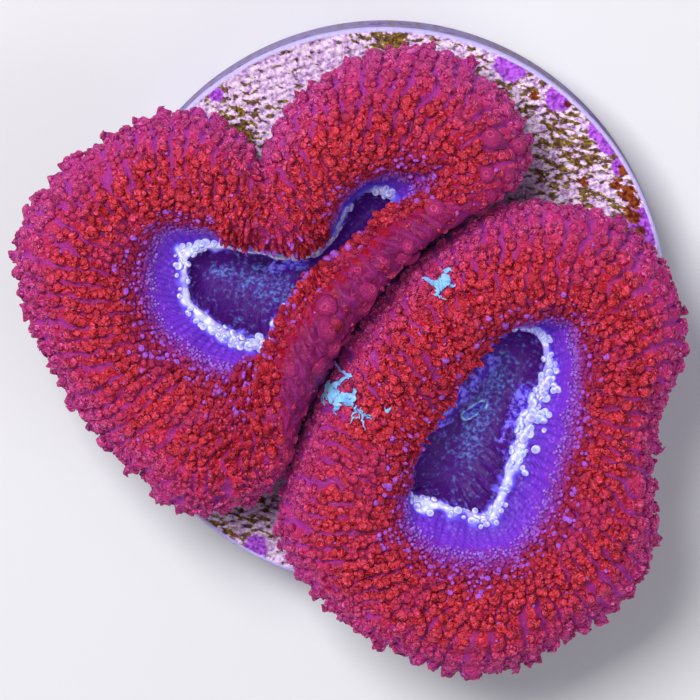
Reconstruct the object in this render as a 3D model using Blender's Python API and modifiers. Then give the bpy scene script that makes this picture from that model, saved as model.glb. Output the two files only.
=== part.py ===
"""A frag of Acanthastrea coral: two fleshy polyps crowded together on a round ceramic frag disc.

Each polyp is a puffed-up ring of flesh round a sunken oral disc. The ring is lofted round stations that
give, seen from above, its widest reach, the lip where the red flesh ends and the pale rim of the oral
disc. Rows of lumps, the vesicles of the flesh, stand on it. The larger polyp is folded like a heart.

Metres, +Z up. The origin is the centre of the disc's flat underside, and +Y is the heart's notched side.
"""

import math

import bmesh
import bpy
import numpy as np

MM = 0.001

# The ceramic disc, in millimetres
DISC_DIAMETER = 32.0
DISC_THICKNESS = 5.0
DISC_BEVEL = 0.25
DISC_SIDES = 72

# The flesh, in millimetres and in shares of a section
FLESH_CLEARANCE = 0.3  # between the flesh and the disc under it
FOOT_INSET = 1.4  # how far the foot stands in from the widest reach
FOOT_REACH = 14.7  # the foot never leaves the disc, though the flesh hangs over its edge
BELLY_SHARE = 0.38  # height of the widest reach, as a share of the crest's height
CREST_SHARE = 0.48  # place of the crest between the widest reach and the lip
RIM_HEIGHT = 3.3
FLOOR_HEIGHT = 1.9
FLOOR_CLOSURE = 0.86  # how far the floor's rings run in to the mouth line

# Lumps, in millimetres: the flesh is drawn in under them, and each stands out again
FLESH_INSET = 0.22
FLANK_LUMP_HEIGHT = 0.6
CREST_LUMP_HEIGHT = 0.42
LIP_LUMP_HEIGHT = 0.22
LUMP_ROWS_HEART = 46
LUMP_ROWS_OVAL = 37

# Steps along a section, from the foot over the crest to the mouth line
UNDER_STEPS = 3
FLANK_STEPS = 8
SLOPE_STEPS = 9
FLOOR_STEPS = 4

# Stations round each polyp, anticlockwise from above: widest reach, lip, rim and the crest's height, in
# millimetres from the disc's centre and above its top, and the share of a lump that the flank carries,
# which is small where the flesh is pressed against the other polyp or folded on itself
HEART_STATIONS = [
    ((-7.0, 7.3), (-5.5, 4.0), (-5.4, 3.2), 8.0, 0.15),
    ((-7.8, 9.6), (-8.3, 4.5), (-7.9, 3.7), 7.7, 0.3),
    ((-9.5, 11.4), (-10.0, 5.3), (-9.6, 4.1), 7.3, 0.8),
    ((-11.7, 12.0), (-11.6, 5.5), (-10.7, 3.9), 7.1, 1.0),
    ((-14.3, 11.3), (-12.6, 5.1), (-11.2, 3.5), 7.0, 1.0),
    ((-16.8, 9.7), (-13.3, 4.1), (-11.3, 2.8), 7.0, 1.0),
    ((-19.1, 7.5), (-13.5, 3.1), (-11.2, 2.1), 6.9, 1.0),
    ((-20.7, 4.8), (-13.6, 2.1), (-11.2, 1.5), 6.8, 1.0),
    ((-20.9, 1.9), (-13.4, 0.9), (-11.1, 0.9), 6.8, 1.0),
    ((-20.0, -1.0), (-12.9, -0.3), (-10.6, 0.3), 6.8, 1.0),
    ((-18.4, -3.9), (-12.0, -1.4), (-9.8, -0.3), 6.8, 1.0),
    ((-16.4, -6.9), (-10.8, -2.6), (-8.8, -1.0), 6.7, 1.0),
    ((-14.2, -9.1), (-9.6, -3.5), (-7.8, -1.4), 6.6, 1.0),
    ((-11.7, -11.1), (-8.3, -4.0), (-7.0, -1.5), 6.6, 1.0),
    ((-8.4, -10.8), (-7.3, -3.5), (-6.4, -1.4), 6.9, 0.9),
    ((-6.2, -9.25), (-6.6, -2.3), (-6.2, -0.7), 7.4, 0.45),
    ((-5.05, -6.5), (-5.9, -0.7), (-5.8, 0.2), 8.0, 0.3),
    ((-3.6, -3.5), (-5.0, 1.0), (-5.0, 1.3), 8.3, 0.3),
    ((-1.8, -0.5), (-3.9, 2.6), (-4.0, 2.4), 8.3, 0.3),
    ((0.35, 2.35), (-2.2, 4.3), (-2.6, 3.7), 8.2, 0.3),
    ((2.8, 4.75), (-0.4, 6.1), (-1.1, 4.9), 8.0, 0.3),
    ((5.55, 6.45), (1.2, 7.1), (0.0, 6.1), 7.6, 0.5),
    ((7.7, 8.6), (2.0, 7.9), (0.4, 6.8), 7.4, 0.9),
    ((7.7, 11.1), (1.6, 8.4), (0.0, 7.1), 7.4, 1.0),
    ((6.1, 13.4), (0.6, 8.5), (-0.7, 7.3), 7.6, 1.0),
    ((3.5, 15.0), (-0.4, 8.4), (-1.3, 7.1), 7.7, 1.0),
    ((0.4, 15.4), (-1.5, 7.9), (-1.9, 6.7), 7.7, 1.0),
    ((-2.5, 14.4), (-2.2, 7.2), (-2.2, 6.1), 7.7, 1.0),
    ((-4.9, 12.5), (-2.9, 6.3), (-2.6, 5.4), 7.8, 0.8),
    ((-6.3, 9.8), (-3.8, 4.9), (-3.6, 4.1), 8.0, 0.3),
]
OVAL_STATIONS = [
    ((9.1, 6.6), (8.7, 0.1), (7.9, -0.4), 7.4, 0.9),
    ((5.95, 6.05), (6.8, -0.3), (6.9, -0.7), 7.4, 0.5),
    ((3.35, 4.45), (5.3, -1.6), (5.4, -1.5), 7.3, 0.3),
    ((1.0, 2.5), (4.0, -3.5), (4.1, -3.2), 7.1, 0.3),
    ((-1.1, -0.1), (2.7, -5.5), (2.8, -5.1), 7.0, 0.3),
    ((-3.0, -3.2), (1.6, -7.3), (1.8, -7.2), 7.0, 0.3),
    ((-4.55, -6.55), (1.1, -9.2), (1.1, -9.5), 7.0, 0.3),
    ((-5.7, -9.7), (1.0, -10.9), (1.6, -10.4), 6.9, 0.45),
    ((-6.0, -12.8), (1.6, -12.4), (2.5, -10.6), 6.8, 0.9),
    ((-4.7, -15.8), (2.7, -13.2), (3.4, -10.9), 6.8, 1.0),
    ((-2.2, -18.1), (4.0, -13.7), (4.4, -11.1), 6.7, 1.0),
    ((0.9, -19.6), (5.5, -13.8), (5.3, -11.4), 6.6, 1.0),
    ((4.3, -20.5), (7.0, -13.4), (6.0, -11.4), 6.6, 1.0),
    ((8.0, -19.8), (8.1, -12.5), (6.4, -10.6), 6.6, 1.0),
    ((11.4, -18.2), (9.0, -11.4), (6.7, -9.7), 6.8, 1.0),
    ((14.0, -15.9), (9.7, -9.9), (7.1, -8.7), 7.0, 1.0),
    ((15.5, -12.8), (10.2, -8.2), (7.5, -7.4), 7.2, 1.0),
    ((15.5, -9.3), (10.7, -6.5), (7.9, -6.1), 7.2, 1.0),
    ((15.9, -5.7), (11.1, -4.7), (8.5, -4.8), 7.0, 1.0),
    ((17.0, -2.0), (11.3, -2.9), (9.1, -3.4), 7.0, 1.0),
    ((16.5, 1.5), (11.1, -1.3), (9.2, -2.2), 7.2, 1.0),
    ((14.8, 4.2), (10.5, -0.2), (8.8, -1.1), 7.4, 1.0),
    ((12.2, 6.0), (9.7, 0.2), (8.3, -0.6), 7.4, 1.0),
]

# The line under each oral disc that its floor falls to, the mouth of the polyp
HEART_MOUTH = [(-9.8, 2.2), (-7.0, 1.2), (-4.8, 2.5), (-2.5, 4.6), (-0.8, 6.0)]
OVAL_MOUTH = [(3.8, -9.0), (5.1, -6.1), (7.4, -2.2)]

# Base colour, roughness
FLESH_HEART = ((0.60, 0.045, 0.085), 0.45)
FLESH_OVAL = ((0.66, 0.05, 0.075), 0.45)
CERAMIC = ((0.66, 0.58, 0.72), 0.8)


def clear_scene():
    for found in list(bpy.data.objects):
        bpy.data.objects.remove(found)


def material(name, colour, roughness):
    made = bpy.data.materials.new(name)
    made.use_nodes = True
    shader = made.node_tree.nodes["Principled BSDF"]
    shader.inputs["Base Color"].default_value = (*colour, 1.0)
    shader.inputs["Roughness"].default_value = roughness
    shader.inputs["Metallic"].default_value = 0.0
    made.diffuse_color = (*colour, 1.0)
    return made


def around(values, turns):
    """What the stations hold, a row each, joined by a closed Catmull-Rom curve and read at turns of 0 to 1."""
    values = np.asarray(values, float)
    place = np.asarray(turns) * len(values)
    first = np.floor(place).astype(int)
    t = (place - first)[:, None]
    a, b, c, d = (values[(first + step) % len(values)] for step in (-1, 0, 1, 2))
    return b + 0.5 * t * (c - a + t * (2 * a - 5 * b + 4 * c - d + t * (3 * (b - c) + d - a)))


def even_turns(values, count):
    """Turns that part the closed curve through the values into equal lengths."""
    fine = np.linspace(0.0, 1.0, 1501)
    steps = np.diff(around(values, fine), axis=0)
    run = np.concatenate([[0.0], np.cumsum(np.linalg.norm(steps, axis=1))])
    return np.interp(np.arange(count) * run[-1] / count, run, fine)


def nearest_on_line(points, line):
    """For each point, the nearest point of a line of several straight runs."""
    line = np.asarray(line, float)
    best, least = np.zeros_like(points), np.full(len(points), np.inf)
    for start, end in zip(line[:-1], line[1:]):
        run = end - start
        share = np.clip((points - start) @ run / (run @ run), 0.0, 1.0)
        foot = start + share[:, None] * run
        gap = np.linalg.norm(points - foot, axis=1)
        closer = gap < least
        best[closer], least[closer] = foot[closer], gap[closer]
    return best


def flesh_rings(stations, mouth, count):
    """The smooth flesh as rings of count points, from the foot over the crest to the floor of the pit."""
    outer, lip, rim = (np.array([s[k] for s in stations]) for k in range(3))
    turns = even_turns(outer + CREST_SHARE * (lip - outer), count)
    outer, lip, rim = (around(values, turns) for values in (outer, lip, rim))
    crest_height, lumpy = around([s[3:] for s in stations], turns).T

    inward = (rim - outer) / np.linalg.norm(rim - outer, axis=1)[:, None]
    outer = outer + FLESH_INSET * lumpy[:, None] * inward
    foot = outer + FOOT_INSET * inward
    foot *= np.minimum(1.0, FOOT_REACH / np.linalg.norm(foot, axis=1))[:, None]
    crest = outer + CREST_SHARE * (lip - outer)
    belly = BELLY_SHARE * crest_height
    low = np.full(count, RIM_HEIGHT)

    rings, lumps = [], []

    def ring(place, height, lump):
        rings.append(np.column_stack([place, height]))
        lumps.append(np.full(count, lump))

    for step in range(UNDER_STEPS):
        angle = math.radians(90.0 * step / UNDER_STEPS)
        share = math.sin(angle)
        ring(foot + share * (outer - foot), belly * (1 - math.cos(angle)), 0.0)
    for step in range(FLANK_STEPS):
        angle = math.radians(90.0 * step / FLANK_STEPS)
        place = crest + math.cos(angle) * (outer - crest)
        up = step / FLANK_STEPS
        lump = (1 - up) * FLANK_LUMP_HEIGHT * lumpy + up * CREST_LUMP_HEIGHT
        ring(place, belly + (crest_height - belly) * math.sin(angle), lump)
    # The slope into the pit is a Bezier curve that passes the lip at half its height
    bend = (8 * lip - crest - rim) / 6
    for step in range(SLOPE_STEPS + 1):
        t = step / SLOPE_STEPS
        weights = ((1 - t) ** 3, 3 * t * (1 - t) ** 2, 3 * t**2 * (1 - t), t**3)
        place = weights[0] * crest + (weights[1] + weights[2]) * bend + weights[3] * rim
        height = (weights[0] + weights[1]) * crest_height + (weights[2] + weights[3]) * low
        lump = CREST_LUMP_HEIGHT + (LIP_LUMP_HEIGHT - CREST_LUMP_HEIGHT) * 2 * t if t < 0.5 else 0.0
        ring(place, height, lump)
    target = nearest_on_line(rim, mouth)
    for step in range(1, FLOOR_STEPS + 1):
        share = step / FLOOR_STEPS
        fall = (1 - share) ** 2.2
        place = rim + FLOOR_CLOSURE * share * (target - rim)
        ring(place, FLOOR_HEIGHT + (low - FLOOR_HEIGHT) * fall, 0.0)
    return np.array(rings), np.array(lumps)


def raise_lumps(rings, lumps):
    """Every other point of every other row stands out along the flesh's normal, like bricks in a wall."""
    along = np.roll(rings, -1, axis=1) - np.roll(rings, 1, axis=1)
    across = np.gradient(rings, axis=0)
    normal = np.cross(along, across)
    normal /= np.linalg.norm(normal, axis=2)[:, :, None]
    ring, point = np.indices(lumps.shape)
    stands_out = (point % 2 == 0) & ((ring + point // 2) % 2 == 0)
    return rings + (stands_out * lumps)[:, :, None] * normal


def polyp(name, stations, mouth, lump_rows, finish):
    """One polyp as a closed solid: its rings of points, with a flat foot and a flat mouth line."""
    rings, lumps = flesh_rings(stations, mouth, 2 * lump_rows)
    rings = raise_lumps(rings, lumps)
    rings[:, :, 2] += DISC_THICKNESS + FLESH_CLEARANCE
    shape = bmesh.new()
    loops = [[shape.verts.new(point * MM) for point in ring] for ring in rings]
    count = len(loops[0])
    for lower, upper in zip(loops[:-1], loops[1:]):
        for i in range(count):
            shape.faces.new((lower[i], lower[(i + 1) % count], upper[(i + 1) % count], upper[i]))
    shape.faces.new(loops[0][::-1])
    shape.faces.new(loops[-1])
    bmesh.ops.recalc_face_normals(shape, faces=shape.faces)
    bmesh.ops.triangulate(shape, faces=shape.faces)
    mesh = bpy.data.meshes.new(name)
    shape.to_mesh(mesh)
    shape.free()
    mesh.materials.append(material(name, *finish))
    mesh.shade_smooth()
    made = bpy.data.objects.new(name, mesh)
    coral.objects.link(made)
    return made


def frag_disc():
    """The round ceramic disc that the coral is glued to, with a small bevel on both edges."""
    bpy.ops.mesh.primitive_cylinder_add(
        vertices=DISC_SIDES,
        radius=DISC_DIAMETER / 2 * MM,
        depth=DISC_THICKNESS * MM,
        location=(0, 0, DISC_THICKNESS / 2 * MM),
    )
    disc = bpy.context.object
    disc.name = disc.data.name = "frag_disc"
    for collection in list(disc.users_collection):
        collection.objects.unlink(disc)
    coral.objects.link(disc)
    bevel = disc.modifiers.new("edge", "BEVEL")
    bevel.width = DISC_BEVEL * MM
    bevel.segments = 2
    disc.data.materials.append(material("frag_disc", *CERAMIC))
    return disc


clear_scene()
coral = bpy.data.collections.new("acanthastrea_coral")
bpy.context.scene.collection.children.link(coral)
frag_disc()
polyp("polyp_heart", HEART_STATIONS, HEART_MOUTH, LUMP_ROWS_HEART, FLESH_HEART)
polyp("polyp_oval", OVAL_STATIONS, OVAL_MOUTH, LUMP_ROWS_OVAL, FLESH_OVAL)
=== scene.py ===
"""The looks of a frag of Acanthastrea coral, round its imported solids: two fleshy polyps on a ceramic disc.

Numbers are millimetres unless they say otherwise, and meshes are metres, +Z up. Heights of the flesh are
above the disc's top. Stations run anticlockwise, seen from above.
"""

import math

import bpy
import numpy as np
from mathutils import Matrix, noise


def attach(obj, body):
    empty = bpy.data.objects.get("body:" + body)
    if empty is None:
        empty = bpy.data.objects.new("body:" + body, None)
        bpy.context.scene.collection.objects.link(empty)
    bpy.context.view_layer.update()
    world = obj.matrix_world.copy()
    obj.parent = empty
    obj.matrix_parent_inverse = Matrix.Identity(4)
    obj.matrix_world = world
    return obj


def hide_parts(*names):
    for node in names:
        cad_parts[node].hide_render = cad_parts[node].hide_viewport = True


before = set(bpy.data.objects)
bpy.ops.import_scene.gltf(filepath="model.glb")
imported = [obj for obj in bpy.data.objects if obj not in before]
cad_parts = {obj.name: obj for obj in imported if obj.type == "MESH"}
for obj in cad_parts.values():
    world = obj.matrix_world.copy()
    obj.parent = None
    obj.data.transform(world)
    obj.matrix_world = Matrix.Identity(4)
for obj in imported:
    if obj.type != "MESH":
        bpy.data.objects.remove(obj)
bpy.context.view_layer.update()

# The frag disc: a pressed ceramic disc, fired without glaze, so that its face is pebbly and struck across
# in fine parallel lines. Olive algae have settled in the hollows and coralline algae grow in purple
# patches near the edge. The coral is glued to it.

MM = 0.001
DISC_RADIUS = 16.0
DISC_TOP = 5.0
DISC_BEVEL = 0.25
DISC_POINTS = 720
STRIKE_TURN = math.radians(18.0)  # the struck lines rise to the right
STRIKE_PITCH = 0.52
PEBBLE = 0.25
FACE_EDGE = 15.86  # the struck face ends just inside the bevel
CORALLINE_SPOTS = [
    (7.1, 13.9, 0.85), (9.9, 12.1, 0.75), (12.1, 10.2, 0.55), (12.7, 9.5, 0.6), (13.3, 8.1, 0.45),
    (14.5, 5.1, 0.7), (15.0, 4.2, 0.6), (-7.3, -13.6, 0.6), (-9.5, 12.2, 0.35), (-14.4, -5.0, 0.7),
    (13.9, -6.6, 0.8), (-4.4, -14.9, 0.5),
]  # fmt: skip
RUST_SPOTS = [
    (10.4, 11.7, 0.3), (13.5, 7.9, 0.45), (13.8, 6.5, 0.7), (14.0, 5.9, 0.6), (13.2, 7.2, 0.45),
    (11.3, 7.3, 0.35), (8.4, 12.1, 0.35), (-8.4, -12.9, 0.3), (14.4, 4.4, 0.5), (14.1, 5.3, 0.5),
]  # fmt: skip
OLIVE_BEDS = [
    (11.5, 8.5, 3.0), (7.5, 12.5, 2.0), (-9.0, -12.5, 2.4), (1.0, 14.8, 1.6), (13.0, 3.5, 2.6),
    (-8.0, 10.4, 1.2), (13.5, -6.0, 3.0), (-13.0, -8.0, 3.0),
]  # fmt: skip


def screen(red, green, blue):
    """A colour as a screen shows it, 0 to 255, in the linear values that a shader takes."""
    shown = (part / 255 for part in (red, green, blue))
    return (*(s / 12.92 if s <= 0.04045 else ((s + 0.055) / 1.055) ** 2.4 for s in shown), 1.0)


def wander(points, size, shift=0.0):
    """Smooth noise of about -1 to 1 at points, with features of the size given."""
    places = np.asarray(points, float).reshape(-1, 3) / size + shift
    return 1.7 * np.array([noise.noise(p) for p in places.tolist()]).reshape(np.shape(points)[:-1])


def scattered(x, y, seed):
    """Distance to the nearest of many scattered points, one in each unit square."""
    spots = np.random.default_rng(seed).random((64, 64, 2))
    column, row = np.floor(x).astype(int), np.floor(y).astype(int)
    nearest = np.full(x.shape, 9.0)
    for c in (-1, 0, 1):
        for r in (-1, 0, 1):
            spot = spots[(column + c) % 64, (row + r) % 64]
            gap = np.hypot(x - column - c - spot[..., 0], y - row - r - spot[..., 1])
            nearest = np.minimum(nearest, gap)
    return nearest


def spotted(x, y, spots):
    """1 in the middle of any of the spots (x, y, radius), falling to 0 at 1.5 times the radius."""
    cover = np.zeros(x.shape)
    for at_x, at_y, radius in spots:
        cover = np.maximum(cover, 1.5 - np.hypot(x - at_x, y - at_y) / radius)
    return np.clip(cover, 0.0, 1.0)


def mesh_of_rings(name, rings, values):
    """A closed piece from rings of equally many points, capped at both ends, with float attributes."""
    index = np.arange(rings.shape[0] * rings.shape[1]).reshape(rings.shape[:2])
    beside = np.roll(index, -1, axis=1)
    quads = np.stack([index[:-1], beside[:-1], beside[1:], index[1:]], axis=-1).reshape(-1, 4)
    faces = quads.tolist() + [index[0][::-1].tolist(), index[-1].tolist()]
    mesh = bpy.data.meshes.new(name)
    mesh.from_pydata((rings.reshape(-1, 3) * MM).tolist(), [], faces)
    for key, value in values.items():
        held = mesh.attributes.new(key, "FLOAT", "POINT")
        held.data.foreach_set("value", np.ravel(value).astype(np.float32))
    mesh.shade_smooth()
    piece = bpy.data.objects.new(name, mesh)
    bpy.context.scene.collection.objects.link(piece)
    return piece


def give(node, values):
    """Sets a node's inputs, each to a value that is the same all over, or to what another node gives."""
    for key, value in dict(values).items():
        if isinstance(value, bpy.types.NodeSocket):
            node.id_data.links.new(value, node.inputs[key])
        else:
            node.inputs[key].default_value = value


def start_finish(name):
    """A new material, its Principled shader, and a function that adds a node with its inputs."""
    finish = bpy.data.materials.new(name)
    finish.use_nodes = True
    tree = finish.node_tree

    def add(kind, inputs=(), output=0, **settings):
        made = tree.nodes.new("ShaderNode" + kind)
        for key, value in settings.items():
            setattr(made, key, value)
        give(made, inputs)
        return made.outputs[output]

    return finish, tree.nodes["Principled BSDF"], add


def mixed(add, share, first, second, way="MIX"):
    """One colour laid over another, by a share of 0 to 1."""
    return add("Mix", {0: share, 6: first, 7: second}, 2, data_type="RGBA", blend_type=way)


def ramped(add, value, stops):
    """A colour read off a row of (place, colour) stops."""
    place = add("ValToRGB", {"Fac": value})
    ramp = place.node.color_ramp
    while len(ramp.elements) < len(stops):
        ramp.elements.new(1.0)
    for element, (position, colour) in zip(ramp.elements, stops):
        element.position, element.color = position, colour
    return place


def figured(add, way, first, second=0.5, third=0.5):
    """A sum done at each point of the surface."""
    return add("Math", {0: first, 1: second, 2: third}, operation=way)


def stepped(add, value, low, high):
    """0 below low and 1 above high, smooth between."""
    return add("MapRange", {0: value, 1: low, 2: high}, interpolation_type="SMOOTHSTEP")


def short_ways(add):
    """What a finish asks for most: a value that the mesh holds, a product and a total."""

    def read(key):
        return add("Attribute", output=2, attribute_name=key)

    def times(first, second):
        return figured(add, "MULTIPLY", first, second)

    def plus(first, second):
        return figured(add, "ADD", first, second)

    return read, times, plus


bevel = np.radians(np.linspace(0, 90, 5))
inner = DISC_RADIUS - DISC_BEVEL
radius = np.concatenate([
    [14.0, 15.2], inner + DISC_BEVEL * np.sin(bevel), np.full(14, DISC_RADIUS),
    inner + DISC_BEVEL * np.cos(bevel), np.linspace(inner - 0.13, 0.8, 112),
])  # fmt: skip
height = np.concatenate([
    [0, 0], DISC_BEVEL * (1 - np.cos(bevel)), np.linspace(DISC_BEVEL, DISC_TOP - DISC_BEVEL, 16)[1:-1],
    DISC_TOP + DISC_BEVEL * (np.sin(bevel) - 1), np.full(112, DISC_TOP),
])  # fmt: skip
turn = np.linspace(0, 2 * np.pi, DISC_POINTS, endpoint=False)
x, y = np.outer(radius, np.cos(turn)), np.outer(radius, np.sin(turn))
rings = np.stack([x, y, np.broadcast_to(height[:, None], x.shape)], axis=-1)
struck = x * math.cos(STRIKE_TURN) + y * math.sin(STRIKE_TURN)
across = y * math.cos(STRIKE_TURN) - x * math.sin(STRIKE_TURN)
pebble = scattered(struck / PEBBLE * 0.75, across / PEBBLE, 3)
line = (0.5 + 0.5 * np.cos(2 * np.pi * across / STRIKE_PITCH + 1.4 * wander(rings, 1.6))) ** 5
face = (height[:, None] == DISC_TOP) * np.clip((FACE_EDGE - np.hypot(x, y)) / 0.1, 0, 1)
rings[..., 2] += face * (0.07 * (0.45 - pebble) - 0.05 * line + 0.05 * wander(rings, 2.2, 7.0) - 0.05)
upright = (height > DISC_BEVEL) & (height < DISC_TOP - DISC_BEVEL)
wall = upright[:, None] * 0.02 * wander(rings * [1, 1, 2], 0.7)
rings[..., 0] += wall * np.cos(turn)
rings[..., 1] += wall * np.sin(turn)
disc = mesh_of_rings("frag_disc_face", rings, {
    "pebble": pebble, "line": line, "face": face,
    "coralline": face * spotted(x, y, CORALLINE_SPOTS), "rust": face * spotted(x, y, RUST_SPOTS),
    "lush": spotted(x, y, OLIVE_BEDS),
})  # fmt: skip

bisque, shader, add = start_finish("algae-stained bisque")
read, times, plus = short_ways(add)
place = add("TexCoord", output=3)
turned = add("Mapping", {0: place, 2: (0, 0, -STRIKE_TURN), 3: (2.2, 1.0, 1.0)}, vector_type="TEXTURE")
drift = add("TexNoise", {"Vector": place, "Scale": 230.0, "Detail": 3.0})
grime = add("TexNoise", {"Vector": turned, "Scale": 3500.0, "Detail": 4.0, "Roughness": 0.6})
speck = add("TexNoise", {"Vector": place, "Scale": 4800.0, "Detail": 2.0})
pebbled, lined, faced = read("pebble"), read("line"), read("face")
bare = ramped(add, speck, [
    (0.32, screen(168, 122, 196)), (0.46, screen(228, 188, 240)), (0.6, screen(255, 236, 255)),
])  # fmt: skip
olive = ramped(add, speck, [
    (0.34, screen(60, 34, 6)), (0.5, screen(116, 86, 8)), (0.66, screen(170, 138, 44)),
])  # fmt: skip
# olive algae settle in patches, first in the hollows and along the struck lines
settled = plus(grime, times(drift, 0.45))
settled = plus(settled, times(pebbled, 0.2))
settled = plus(settled, times(lined, 0.07))
settled = plus(settled, times(read("lush"), 0.1))
settled = stepped(add, settled, 0.885, 0.95)
tone = mixed(add, settled, bare, olive)
# painted shade: the hollows between the pebbles and the struck grooves are darkened
hollow_shade = stepped(add, pebbled, 0.42, 0.8)
tone = mixed(add, times(hollow_shade, 0.4), tone, screen(86, 54, 90))
tone = mixed(add, times(lined, 0.5), tone, screen(86, 56, 76))
# purple coralline crusts and rust, ragged at their edges
coralline = stepped(add, plus(read("coralline"), times(grime, 0.9)), 0.72, 0.95)
crust = ramped(add, speck, [(0.35, screen(118, 40, 160)), (0.65, screen(206, 104, 250))])
tone = mixed(add, coralline, tone, crust)
rusty = stepped(add, plus(times(read("rust"), 0.5), grime), 0.84, 0.93)
stain = ramped(add, speck, [(0.4, screen(84, 10, 8)), (0.6, screen(150, 70, 8))])
tone = mixed(add, rusty, tone, stain)
# the wall: pale at its top edge; below it darker as painted shade, mottled violet with paler spots and olive
# where algae settle
side = mixed(add, speck, screen(176, 160, 246), screen(226, 214, 255))
depth = add("SeparateXYZ", {0: place}, 2)
wall_shade_mask = stepped(add, plus(depth, times(drift, 0.001)), 0.00502, 0.0046)
wall_shade_mottle = stepped(add, plus(drift, times(grime, 0.4)), 0.66, 0.58)
shaded_wall_tone = mixed(add, wall_shade_mottle, screen(146, 132, 182), screen(114, 72, 164))
shaded_wall_tone = mixed(add, times(stepped(add, grime, 0.5, 0.62), 0.6), shaded_wall_tone, screen(176, 160, 206))
side = mixed(add, wall_shade_mask, side, mixed(add, times(settled, 0.5), shaded_wall_tone, olive))
tone = mixed(add, faced, side, tone)
bump = add("Bump", {"Height": speck, "Strength": 0.5, "Distance": 0.00008})
give(shader, {"Base Color": tone, "Normal": bump, "Roughness": 0.82, "Specular IOR Level": 0.25})
disc.data.materials.append(bisque)
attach(disc, "root")
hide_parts("frag_disc")

# The heart-shaped polyp: one puffed ring of soft flesh over a hidden skeleton, folded in at a notch, with
# a long narrow ridge pressed against its neighbour. Radial pillows of flesh part in smooth valleys, end in
# pointed lumps at the widest reach and fade to a wrinkled slope, a pale rim and a dark sunken floor.

HEART_ROWS = 82
HEART_POINTS = 656
# widest reach, lip, rim, crest's height, share of pillows, length of fingers, whiteness of rim, blisters
HEART_STATIONS = [
    ((-7.0, 7.3), (-5.5, 4.3), (-5.4, 3.45), 8.0, 0.15, 0.7, 0.9, 0.0),
    ((-7.55, 9.75), (-8.3, 4.75), (-7.9, 3.95), 7.7, 0.3, 0.65, 0.9, 0.0),
    ((-9.5, 11.1), (-10.0, 5.3), (-9.6, 4.1), 7.3, 0.8, 0.35, 0.8, 0.0),
    ((-11.7, 11.6), (-11.6, 5.5), (-10.7, 3.9), 7.1, 1.0, 0.15, 1.0, 0.0),
    ((-14.2, 11.05), (-12.6, 5.1), (-11.2, 3.5), 7.0, 1.0, 0.1, 1.0, 0.1),
    ((-16.7, 9.5), (-13.3, 4.1), (-11.3, 2.8), 7.0, 1.0, 0.0, 0.8, 0.1),
    ((-19.0, 7.45), (-13.5, 3.1), (-11.2, 2.1), 6.9, 1.0, 0.0, 0.7, 0.1),
    ((-20.7, 4.8), (-13.6, 2.1), (-11.2, 1.5), 6.8, 1.0, 0.0, 0.7, 0.1),
    ((-20.5, 1.9), (-13.4, 0.9), (-11.1, 0.9), 6.8, 1.0, 0.0, 0.8, 0.1),
    ((-19.7, -0.95), (-12.9, -0.3), (-10.6, 0.3), 6.8, 1.0, 0.0, 1.0, 0.1),
    ((-18.25, -3.85), (-12.0, -1.4), (-9.8, -0.3), 6.8, 1.0, 0.0, 1.1, 0.1),
    ((-16.2, -6.75), (-10.6, -2.35), (-8.8, -1.0), 6.7, 1.0, 0.1, 1.1, 0.1),
    ((-14.05, -8.9), (-9.3, -3.0), (-7.8, -1.4), 6.6, 1.0, 0.35, 1.1, 0.1),
    ((-11.7, -11.1), (-8.0, -3.3), (-7.0, -1.5), 6.6, 1.0, 0.7, 1.0, 0.0),
    ((-8.4, -10.8), (-7.3, -3.5), (-6.4, -1.4), 6.9, 0.9, 1.0, 1.0, 0.0),
    ((-6.2, -9.25), (-6.6, -2.3), (-6.2, -0.7), 7.4, 0.45, 1.0, 0.9, 0.4),
    ((-5.05, -6.5), (-5.9, -0.7), (-5.8, 0.2), 8.0, 0.3, 0.9, 0.4, 1.0),
    ((-3.6, -3.5), (-5.0, 1.0), (-5.0, 1.3), 8.3, 0.3, 0.9, 0.1, 1.0),
    ((-1.8, -0.5), (-3.75, 2.45), (-3.9, 2.25), 8.3, 0.3, 0.9, 0.1, 1.0),
    ((0.35, 2.35), (-1.95, 4.0), (-2.35, 3.4), 8.2, 0.3, 0.9, 0.0, 1.0),
    ((2.8, 4.75), (-0.1, 5.75), (-0.8, 4.55), 8.0, 0.3, 0.8, 0.0, 1.0),
    ((5.55, 6.45), (1.55, 6.85), (0.35, 5.85), 7.6, 0.5, 0.6, 0.1, 0.9),
    ((7.9, 8.6), (2.0, 7.6), (0.6, 6.6), 7.4, 0.9, 0.3, 0.5, 0.5),
    ((7.8, 11.15), (1.3, 8.2), (-0.1, 7.0), 7.4, 1.0, 0.1, 0.8, 0.5),
    ((6.0, 13.3), (0.6, 8.5), (-0.7, 7.3), 7.6, 1.0, 0.1, 0.7, 0.3),
    ((3.5, 15.0), (-0.4, 8.4), (-1.3, 7.1), 7.7, 1.0, 0.15, 0.5, 0.1),
    ((0.4, 15.4), (-1.5, 7.9), (-1.9, 6.7), 7.7, 1.0, 0.2, 0.5, 0.0),
    ((-2.5, 14.4), (-2.2, 7.2), (-2.2, 6.1), 7.7, 1.0, 0.3, 0.5, 0.0),
    ((-4.9, 12.5), (-2.9, 6.2), (-2.6, 5.3), 7.8, 0.8, 0.4, 0.8, 0.1),
    ((-6.55, 9.9), (-3.8, 4.75), (-3.6, 3.8), 8.0, 0.3, 0.65, 0.9, 0.1),
]
HEART_MOUTH = [(-9.8, 2.2), (-7.0, 1.2), (-4.8, 2.3), (-3.5, 3.2), (-2.2, 4.5), (-0.8, 6.0)]
HEART_MARKS = {  # on the floor: granular green patches, blue streaks, and where the flesh creases
    "green": [((-7.8, 2.0), (-5.2, 1.2), 0.9), ((-9.6, 2.5), (-8.0, 2.3), 0.35)],
    "blue": [((-6.2, 2.6), (-4.6, 2.9), 0.5)],
    "crease": [((0.8, 7.7), (3.6, 8.9), 0.5)],
    "lips": [],
}

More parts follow.
